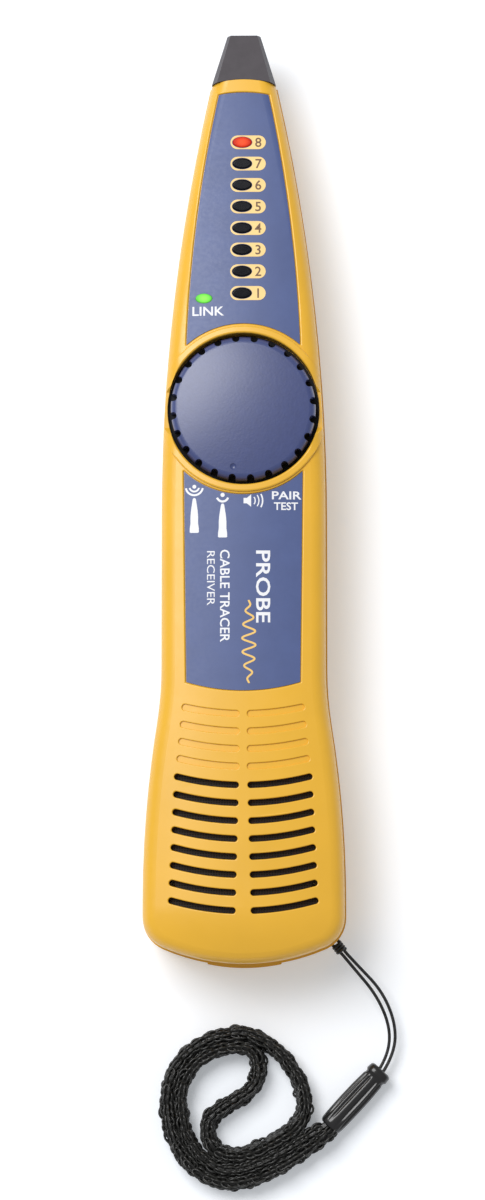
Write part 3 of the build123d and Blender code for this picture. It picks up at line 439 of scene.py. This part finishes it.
STRING_ROUTE = [
    at_ferrule(0.62, FERRULE_Z),
    (38.9, -144.2, 4.0),
    (39.3, -136.6, 4.6),
    (35.8, -128.0, 5.8),
    (29.0, -120.9, 7.0),
    at_post(4.4, 0.46, POST_Z),
    at_post(-1.5, 1.9, POST_Z),
    at_post(-1.5, -1.9, POST_Z),
    at_post(4.4, -0.46, POST_Z),
    (28.0, -121.6, 7.0),
    (34.3, -129.0, 5.8),
    (37.8, -137.2, 4.6),
    (37.4, -144.2, 4.0),
    at_ferrule(-0.62, FERRULE_Z),
]

# Distance from the string's end, half width and half height of the ferrule.
FERRULE_STATIONS = [
    (0.0, 2.3, 2.3), (0.15, 2.8, 2.8), (0.5, 3.1, 3.1), (1.9, 3.25, 3.2), (2.2, 3.15, 3.1),
    (2.5, 2.85, 2.8), (3.1, 2.8, 2.75), (3.6, 3.0, 2.95), (7.5, 3.2, 3.15), (12.0, 3.25, 3.3),
    (16.0, 3.2, 3.5), (18.6, 3.1, 3.6), (19.5, 3.0, 3.55), (20.0, 2.75, 3.3), (20.2, 2.4, 3.0),
]
FERRULE_SIDES = 96
# Power of sine and cosine that gives the section its corners, below 1.
FERRULE_ROUNDNESS = 0.72
FERRULE_RIBS = 12
FERRULE_RIB_DEPTH = 0.13
FERRULE_RIB_START = 3.4
FERRULE_RIB_STOP = 18.0


def ferrule_sleeve():
    """Ribbed tapered sleeve with a plain collar at the string's end."""
    mesh = bmesh.new()
    rings = []
    across = Vector((-ferrule_axis.y, ferrule_axis.x))
    for t, wide, high in FERRULE_STATIONS:
        ribbed = 1.0 if FERRULE_RIB_START < t < FERRULE_RIB_STOP else 0.0
        ring = []
        for k in range(FERRULE_SIDES):
            angle = 2 * math.pi * k / FERRULE_SIDES
            cut = 1 - ribbed * FERRULE_RIB_DEPTH * (0.5 - 0.5 * math.cos(FERRULE_RIBS * angle)) ** 2
            c, s = math.cos(angle), math.sin(angle)
            x = wide * cut * math.copysign(abs(c) ** FERRULE_ROUNDNESS, c)
            z = high * cut * math.copysign(abs(s) ** FERRULE_ROUNDNESS, s)
            along = Vector(FERRULE_TOP) + ferrule_axis * t + across * x
            ring.append(mesh.verts.new((along.x * MM, along.y * MM, (FERRULE_Z + z) * MM)))
        rings.append(ring)
    return tube_piece("ferrule_sleeve", mesh, rings, ferrule_black, smooth_ends=False)


ferrule = ferrule_sleeve()
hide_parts("strap_ferrule")
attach(ferrule, "probe")

KNOT_OUT = 4.3
KNOT_TURNS = 3
KNOT_STEPS = 20
KNOT_LONG = 2.3
KNOT_RADIUS = 1.15
KNOT_SLANT = 0.3
KNOT_SIDES = 10


def knot_line():
    """Turns of string that bind the two strands where they leave the case."""
    axis = Vector((POST_OUT[0], POST_OUT[1], 0)).normalized()
    side = Vector((-axis.y, axis.x, 0))
    middle = Vector(at_post(KNOT_OUT, 0, POST_Z))
    line = []
    for k in range(KNOT_TURNS * KNOT_STEPS + 1):
        angle = 2 * math.pi * k / KNOT_STEPS
        along = (k / (KNOT_TURNS * KNOT_STEPS) - 0.5) * KNOT_LONG + KNOT_SLANT * math.sin(angle)
        around = (side * math.cos(angle) + Vector((0, 0, 1)) * math.sin(angle)) * KNOT_RADIUS
        line.append((middle + axis * along + around) * MM)
    return line


knot = sweep("string_knot", knot_line(), STRING_RADIUS * MM, KNOT_SIDES, string_black)
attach(knot, "probe")

string = spline_curve("lanyard_string_cord", STRING_ROUTE, STRING_RADIUS * MM)
string.data.materials.append(string_black)
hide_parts("lanyard_string")
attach(string, "probe")


# ---------------------------------------------------------------- wrist strap
STRAP_Z = 3.8
# Distance between the middles of the two layers.
LAYER = 3.0
# Middle line of the two layers, from the ferrule round the bottom and left to the top.
BAND = [
    (21.8, -163.2),
    (19.75, -165.4),
    (2.2, -175.9),
    (-8.2, -176.3),
    (-16.2, -168.7),
    (-18.8, -159.5),
    (-18.4, -151.4),
    (-14.0, -144.8),
    (-6.2, -140.7),
    (2.8, -140.6),
]
# The same strap goes on alone round the right, back along the bottom and up through the middle.
SINGLE = [
    (11.3, -146.0),
    (15.6, -154.3),
    (15.1, -161.8),
    (8.4, -166.6),
    (-0.5, -171.0),
    (-8.0, -169.9),
    (-10.6, -162.6),
    (-6.0, -158.2),
    (1.2, -154.2),
    (3.9, -150.2),
    (3.0, -142.6),
]
# Where the outer layer goes over to the single one.
CROSSING = (2.6, -138.9)
# How far each layer's first points are pulled in to fit the ferrule.
FERRULE_PULLS = (0.62, 0.35)


def layer_line(points, shift):
    """Line parallel to a polyline, moved to its left by shift."""
    moved = []
    for k, (x, y) in enumerate(points):
        normals = []
        for a, b in ((k - 1, k), (k, k + 1)):
            if a >= 0 and b < len(points):
                way = Vector(points[b]) - Vector(points[a])
                normals.append(Vector((-way.y, way.x)).normalized())
        total = sum(normals, Vector((0, 0)))
        step = total * (shift * len(normals) / total.length_squared)
        moved.append((x + step.x, y + step.y))
    return moved


outer_layer = layer_line(BAND, LAYER / 2)
inner_layer = layer_line(BAND[:-1], -LAYER / 2)
for layer in (outer_layer, inner_layer):
    for k, pull in enumerate(FERRULE_PULLS):
        layer[k] = tuple(Vector(layer[k]).lerp(Vector(BAND[k]), pull))
strap_plan = outer_layer[:-1] + [CROSSING] + SINGLE + inner_layer[::-1]
STRAP_ROUTE = [(x, y, STRAP_Z) for x, y in strap_plan]
strap_line_curve = spline_curve("strap_line", STRAP_ROUTE)
strap_line = line_of(strap_line_curve)
bpy.data.objects.remove(strap_line_curve)

# The heading at a point is taken from this far behind it to this far ahead.
HEADING_REACH = 0.9 * MM


class Track:
    """Place and directions along a line of points, by distance from its start."""

    def __init__(self, points):
        self.points = np.array([tuple(p) for p in points])
        steps = np.linalg.norm(np.diff(self.points, axis=0), axis=1)
        self.along = np.concatenate([[0.0], np.cumsum(steps)])
        self.length = float(self.along[-1])

    def at(self, s):
        """Point at distance s, going straight on past the ends."""
        inside = min(max(s, 0.0), self.length)
        point = Vector([float(np.interp(inside, self.along, self.points[:, k])) for k in range(3)])
        if s != inside:
            point += self.heading(inside) * (s - inside)
        return point

    def heading(self, s):
        """Direction of travel, smoothed over a short stretch."""
        low = min(max(s - HEADING_REACH, 0.0), self.length - 2 * HEADING_REACH)
        ends = [Vector([float(np.interp(t, self.along, self.points[:, k])) for k in range(3)])
                for t in (low, low + 2 * HEADING_REACH)]
        return (ends[1] - ends[0]).normalized()


track = Track(strap_line)
STRAP_HALF_THICK = 1.2 * MM
STRAP_HALF_HIGH = 3.05 * MM
# Lean of the strap from upright, how much it changes, and how fast along the strap.
LEAN = math.radians(10.0)
LEAN_SWING = 0.10
LEAN_SCALE = 45.0


def strap_frame(s):
    """Point, sideways and upward directions of the leaning strap at distance s."""
    heading = track.heading(s)
    side = Vector((-heading.y, heading.x, 0.0))
    lean = LEAN + noise.noise(Vector((s * LEAN_SCALE, 0.3, 0.0))) * LEAN_SWING
    up = Vector((0, 0, 1)) * math.cos(lean) + side * math.sin(lean)
    return track.at(s), side * math.cos(lean) - Vector((0, 0, 1)) * math.sin(lean), up


def round_the_strap(turn, half_thick, half_high):
    """Place and outward direction on the strap's flattened section, turn from 0 to 1."""
    straight = 2 * (half_high - half_thick)
    arc = math.pi * half_thick
    walk = (turn % 1.0) * 2 * (straight + arc)
    if walk < straight:
        return Vector((half_thick, walk - straight / 2)), Vector((1, 0))
    walk -= straight
    if walk < arc:
        angle = walk / half_thick
        out = Vector((math.cos(angle), math.sin(angle)))
        return Vector((0, straight / 2)) + out * half_thick, out
    walk -= arc
    if walk < straight:
        return Vector((-half_thick, straight / 2 - walk)), Vector((-1, 0))
    angle = (walk - straight) / half_thick
    out = Vector((-math.cos(angle), -math.sin(angle)))
    return Vector((0, -straight / 2)) + out * half_thick, out


# Stitches round the strap, distance between rows, half length of a stitch along the strap, how
# far its sides bow out as a share of its width, and how far its sides rise and its ends sink.
WALES = 8
COURSE = 1.8 * MM
STITCH_HALF = 1.5 * MM
STITCH_BULGE = 0.36
STITCH_DEPTH = 0.36 * MM
STITCH_POINTS = 14
YARN_RADIUS = 0.33 * MM
YARN_SIDES = 5
# Unevenness along the strap and outward: how far, and how fast it changes by stitch and by row.
LOOSE, LOOSE_BY_STITCH, LOOSE_BY_ROW = 1.5 * MM, 0.9, 0.37
LIFT, LIFT_BY_STITCH, LIFT_BY_ROW = 0.9 * MM, 1.3, 0.5


def knit_line():
    """One yarn that goes round the strap in interlocking loops from end to end."""
    courses = int(track.length / COURSE)
    line = []
    for k in range(courses * WALES * STITCH_POINTS):
        t = 2 * math.pi * k / STITCH_POINTS
        stitch = k / STITCH_POINTS
        turn = (stitch + STITCH_BULGE / math.pi * math.sin(2 * t)) / WALES
        s = COURSE * stitch / WALES + STITCH_HALF * math.cos(t)
        row = math.floor(stitch / WALES)
        s += noise.noise(Vector((stitch * LOOSE_BY_STITCH, row * LOOSE_BY_ROW, 5.0))) * LOOSE
        place, out = round_the_strap(turn, STRAP_HALF_THICK, STRAP_HALF_HIGH)
        lift = noise.noise(Vector((stitch * LIFT_BY_STITCH, row * LIFT_BY_ROW, 9.0))) * LIFT
        place = place + out * (lift - STITCH_DEPTH * math.cos(2 * t))
        base, side, up = strap_frame(s)
        point = base + side * place.x + up * place.y
        # The yarn rests on the floor and does not sink into it.
        point.z = max(point.z, YARN_RADIUS)
        line.append(point)
    return line


strap = sweep("wrist_strap_knit", knit_line(), YARN_RADIUS, YARN_SIDES, strap_black)
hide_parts("wrist_strap")
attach(strap, "probe")

# Sides, step and inset of the dark body inside the knit, which is painted shade for the hollow
# inside of the strap.
SHADE_BODY_SIDES = 14
SHADE_BODY_STEP = 1.2 * MM
SHADE_BODY_INSET = 0.3 * MM


def strap_shade_body():
    """Closed dark body inside the knit: painted shade for the hollow inside of the strap."""
    mesh = bmesh.new()
    rings = []
    count = int(track.length / SHADE_BODY_STEP)
    for k in range(count + 1):
        base, side, up = strap_frame(track.length * k / count)
        ring = []
        for n in range(SHADE_BODY_SIDES):
            place, _ = round_the_strap(n / SHADE_BODY_SIDES, STRAP_HALF_THICK - SHADE_BODY_INSET,
                                       STRAP_HALF_HIGH - SHADE_BODY_INSET)
            ring.append(mesh.verts.new(base + side * place.x + up * place.y))
        rings.append(ring)
    return tube_piece("strap_shade_body", mesh, rings, strap_inner_shade, smooth_sides=False,
                      smooth_ends=False)


shade_body = strap_shade_body()
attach(shade_body, "probe")


# ---------------------------------------------------------------- printing on the labels
INK = 0.05 * MM
# Capital height of the built-in font at size 1.
CAPITAL_HEIGHT = 0.69
# Flat shapes are cut this often before they are laid on a label, from a height above all of it.
DRAPE_PITCH = 2.5 * MM
DRAPE_FROM = 0.1
WELD = 1e-7


def outline_curve(name, loops):
    """Flat filled curve from closed loops of points in millimetres."""
    data = bpy.data.curves.new(name, "CURVE")
    data.dimensions = "2D"
    data.fill_mode = "BOTH"
    data.extrude = INK
    for loop in loops:
        spline = data.splines.new("POLY")
        spline.points.add(len(loop) - 1)
        spline.use_cyclic_u = True
        for point, (x, y) in zip(spline.points, loop):
            point.co = (x * MM, y * MM, 0, 1)
    return bpy.data.objects.new(name, data)


def text_curve(name, words, height, bold=0.0):
    """Plain lettering of a capital height in millimetres, lying flat."""
    data = bpy.data.curves.new(name, "FONT")
    data.body = words
    data.size = height * MM / CAPITAL_HEIGHT
    data.offset = bold * MM
    data.extrude = INK
    data.resolution_u = 3
    return bpy.data.objects.new(name, data)


def drape(name, sources, label, material, lift=0.0):
    """Prints flat shapes, each with its placing matrix, on a label and joins them to one piece."""
    surface = nodes[label]
    mesh = bmesh.new()
    for source, placing in sources:
        bpy.context.scene.collection.objects.link(source)
        bpy.context.view_layer.update()
        depsgraph = bpy.context.evaluated_depsgraph_get()
        flat = bpy.data.meshes.new_from_object(source.evaluated_get(depsgraph))
        flat.transform(placing)
        mesh.from_mesh(flat)
        bpy.data.meshes.remove(flat)
        bpy.data.objects.remove(source)
    bmesh.ops.remove_doubles(mesh, verts=mesh.verts, dist=WELD)
    span = [v.co for v in mesh.verts]
    for axis in (0, 1):
        low = min(v[axis] for v in span)
        high = max(v[axis] for v in span)
        for k in range(1, int((high - low) / DRAPE_PITCH) + 1):
            normal = Vector((0, 0, 0))
            normal[axis] = 1.0
            at = normal * (low + k * DRAPE_PITCH)
            bmesh.ops.bisect_plane(mesh, geom=mesh.verts[:] + mesh.edges[:] + mesh.faces[:],
                                   dist=WELD, plane_co=at, plane_no=normal)
    for vert in mesh.verts:
        above = Vector((vert.co.x, vert.co.y, DRAPE_FROM))
        hit, where, _, _ = surface.ray_cast(above, Vector((0, 0, -1)))
        if not hit:
            raise ValueError(name + " prints outside its label")
        vert.co.z += where.z + lift
    bmesh.ops.recalc_face_normals(mesh, faces=mesh.faces)
    data = bpy.data.meshes.new(name)
    mesh.to_mesh(data)
    mesh.free()
    piece = link_object(name, data, material)
    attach(piece, "probe")


def place_at(x, y, turn=0.0):
    """Placing matrix: turned by degrees, then moved to x, y in millimetres."""
    return Matrix.Translation((x * MM, y * MM, 0)) @ Matrix.Rotation(math.radians(turn), 4, "Z")


def ellipse(x, y, rx, ry, count=28):
    """Closed loop round an ellipse."""
    return [(x + rx * math.cos(2 * math.pi * k / count), y + ry * math.sin(2 * math.pi * k / count))
            for k in range(count)]


def capsule(x0, x1, y, half, count=12):
    """Closed loop round a lying capsule between x0 and x1."""
    loop = []
    for k in range(count + 1):
        angle = math.pi / 2 + math.pi * k / count
        loop.append((x0 + half + half * math.cos(angle), y + half * math.sin(angle)))
    for k in range(count + 1):
        angle = -math.pi / 2 + math.pi * k / count
        loop.append((x1 - half + half * math.cos(angle), y + half * math.sin(angle)))
    return loop


def arc_stroke(x, y, radius, start, stop, stroke, count=18):
    """Closed loop of a bent stroke, angles in degrees."""
    loop = []
    for side, steps in ((1, range(count + 1)), (-1, range(count, -1, -1))):
        r = radius + side * stroke / 2
        for k in steps:
            angle = math.radians(start + (stop - start) * k / count)
            loop.append((x + r * math.cos(angle), y + r * math.sin(angle)))
    return loop


# Capsules round the level lenses, each with a hole for its lens and a digit beside it.
LEVELS = 8
LEVEL_X = -0.35
LEVEL_TOP_Y = 92.35
LEVEL_PITCH = 5.76
CAPSULE_LEFT, CAPSULE_RIGHT, CAPSULE_HALF = -3.4, 5.8, 1.85
HOLE_HALF_WIDTH, HOLE_HALF_HEIGHT = 2.66, 1.58
DIGIT_X, DIGIT_DROP, DIGIT_HEIGHT, DIGIT_BOLD = 2.95, 1.22, 2.45, 0.04
DIGIT_LIFT = 0.03 * MM
FLAT = Matrix.Identity(4)

capsules = []
digits = []
for k in range(LEVELS):
    y = LEVEL_TOP_Y - LEVEL_PITCH * k
    hole = ellipse(LEVEL_X, y, HOLE_HALF_WIDTH, HOLE_HALF_HEIGHT)
    loops = [capsule(CAPSULE_LEFT, CAPSULE_RIGHT, y, CAPSULE_HALF), hole[::-1]]
    capsules.append((outline_curve("capsule", loops), FLAT))
    digit = text_curve("digit", str(LEVELS - k), DIGIT_HEIGHT, DIGIT_BOLD)
    digits.append((digit, place_at(DIGIT_X, y - DIGIT_DROP)))
drape("level_capsules", capsules, "upper_label", print_pale)
drape("level_digits", digits, "upper_label", print_ink, DIGIT_LIFT)


def lettering(name, words, height, width, x, y, label, material, turn=0.0, bold=0.0):
    """Plain lettering whose length is width, its baseline starting at x, y."""
    source = text_curve(name, words, height, bold)
    bpy.context.scene.collection.objects.link(source)
    bpy.context.view_layer.update()
    natural = source.dimensions.x
    bpy.context.scene.collection.objects.unlink(source)
    stretch = Matrix.Scale(width * MM / natural, 4, (1, 0, 0))
    drape(name, [(source, place_at(x, y, turn) @ stretch)], label, material)


lettering("link_legend", "LINK", 2.3, 8.2, -13.4, 46.2, "upper_label", print_white, bold=0.05)

# Half width and distance below the tip of the small probe in the icons.
SILHOUETTE = [(0.22, 0.0), (0.42, -0.35), (0.62, -1.6), (0.86, -3.2), (0.98, -4.6), (0.98, -6.4),
              (1.16, -7.6), (1.18, -8.6), (0.9, -8.75)]
SILHOUETTE_LENGTH = 8.75


def silhouette(x, top, bottom):
    """Closed loop of a small slim probe, tip up."""
    size = (top - bottom) / SILHOUETTE_LENGTH
    right = [(x + w, top + d * size) for w, d in SILHOUETTE]
    left = [(x - w, top + d * size) for w, d in reversed(SILHOUETTE)]
    return right + left


# Middle lines of the two probe icons, and the point that the speaker's sound comes from.
LOCATE_X = -12.6
ISOLATE_X = -5.3
SOUND_X, SOUND_Y = 1.6, -2.15
icons = [
    [arc_stroke(LOCATE_X, 1.55, 2.2, 190, 350, 0.5)],
    [arc_stroke(LOCATE_X, 1.55, 1.25, 195, 345, 0.45)],
    [ellipse(LOCATE_X, 1.55, 0.5, 0.5, 14)],
    [silhouette(LOCATE_X, -1.4, -10.4)],
    [arc_stroke(ISOLATE_X, -0.85, 1.5, 200, 340, 0.55)],
    [ellipse(ISOLATE_X, -0.65, 0.55, 0.55, 14)],
    [silhouette(ISOLATE_X, -2.9, -11.65)],
    [[(0.1, -2.85), (0.1, -1.45), (0.95, -1.45), (2.05, -0.55), (2.05, -3.75), (0.95, -2.85)]],
    [arc_stroke(SOUND_X, SOUND_Y, 1.5, -38, 38, 0.3)],
    [arc_stroke(SOUND_X, SOUND_Y, 2.45, -36, 36, 0.3)],
    [arc_stroke(SOUND_X, SOUND_Y, 3.4, -30, 30, 0.38)],
]
dial_icons = [(outline_curve("icon", loops), FLAT) for loops in icons]
drape("dial_icons", dial_icons, "lower_label", print_white)

# Name, words, capital height, width, x, y, turn and boldness of the lettering on the lower label.
LEGENDS = [
    ("pair_legend", "PAIR", 2.0, 7.6, 7.2, -1.75, 0.0, 0.05),
    ("test_legend", "TEST", 1.9, 6.2, 7.9, -4.5, 0.0, 0.05),
    ("probe_legend", "PROBE", 3.5, 18.6, 3.4, -14.7, -90.0, 0.08),
    ("tracer_legend", "CABLE TRACER", 2.4, 23.8, -5.9, -14.7, -90.0, 0.04),
    ("receiver_legend", "RECEIVER", 2.0, 14.0, -9.3, -14.9, -90.0, 0.0),
]
for name, words, height, width, x, y, turn, bold in LEGENDS:
    lettering(name, words, height, width, x, y, "lower_label", print_white, turn, bold)

BURST_STEPS = 120
# Below 1, the burst fades in and out fast; the clipped share at each end is bare line.
BURST_FADE = 0.7
BURST_BARE = 0.01


def burst(x, start, stop, swing, waves, stroke):
    """Closed loop of a tone burst drawn along the label, fading in and out."""
    middle = []
    for k in range(BURST_STEPS + 1):
        t = k / BURST_STEPS
        grown = min(1.0, max(0.0, t * (1 + 2 * BURST_BARE) - BURST_BARE))
        envelope = math.sin(math.pi * grown) ** BURST_FADE
        across = swing * envelope * math.sin(2 * math.pi * waves * t)
        middle.append(Vector((x + across, start + (stop - start) * t)))
    loop = []
    for side, order in ((1, range(BURST_STEPS + 1)), (-1, range(BURST_STEPS, -1, -1))):
        for k in order:
            way = (middle[min(k + 1, BURST_STEPS)] - middle[max(k - 1, 0)]).normalized()
            point = middle[k] + Vector((-way.y, way.x)) * (side * stroke / 2)
            loop.append((point.x, point.y))
    return loop


drape("tone_burst", [(outline_curve("burst", [burst(1.45, -27.8, -49.2, 1.75, 6, 0.5)]), FLAT)],
      "lower_label", print_yellow)


# ---------------------------------------------------------------- floor, light
FLOOR_CORNERS = [(-2, -2, 0), (2, -2, 0), (2, 2, 0), (-2, 2, 0)]
FLOOR_DROP = 0.0001
WORLD_STRENGTH = 0.42
KEY_LIGHT_AT = (-0.44, 0.44, 1.14)
KEY_LIGHT_SIZE = 0.72
KEY_LIGHT_POWER = 13.6

floor_mesh = bpy.data.meshes.new("floor")
floor_mesh.from_pydata(FLOOR_CORNERS, [], [(0, 1, 2, 3)])
paper, tree, shader, place = new_material("paper")
white = mixed(tree, noise_of(tree, place, 4.0), (0.85, 0.875, 0.915), (0.865, 0.885, 0.925))
tree.links.new(white, shader.inputs["Base Color"])
shader.inputs["Roughness"].default_value = 0.7
shader.inputs["Specular IOR Level"].default_value = 0.2
shader.inputs["Emission Color"].default_value = (0.88, 0.93, 0.98, 1)
shader.inputs["Emission Strength"].default_value = 0.25
floor = link_object("floor", floor_mesh, paper)
floor.location.z = -FLOOR_DROP

world = bpy.data.worlds.new("studio")
world.use_nodes = True
background = world.node_tree.nodes["Background"]
background.inputs["Color"].default_value = (1.0, 1.0, 1.0, 1)
background.inputs["Strength"].default_value = WORLD_STRENGTH
bpy.context.scene.world = world


def add_light(name, place, target, size, power):
    """Square soft light aimed at a point."""
    data = bpy.data.lights.new(name, "AREA")
    data.shape = "SQUARE"
    data.size = size
    data.energy = power
    light = bpy.data.objects.new(name, data)
    aim = (Vector(target) - Vector(place)).to_track_quat("-Z", "Y").to_matrix().to_4x4()
    light.matrix_world = Matrix.Translation(place) @ aim
    bpy.context.scene.collection.objects.link(light)


add_light("key", KEY_LIGHT_AT, (0, 0, 0), KEY_LIGHT_SIZE, KEY_LIGHT_POWER)
bpy.context.scene.view_settings.view_transform = "Standard"
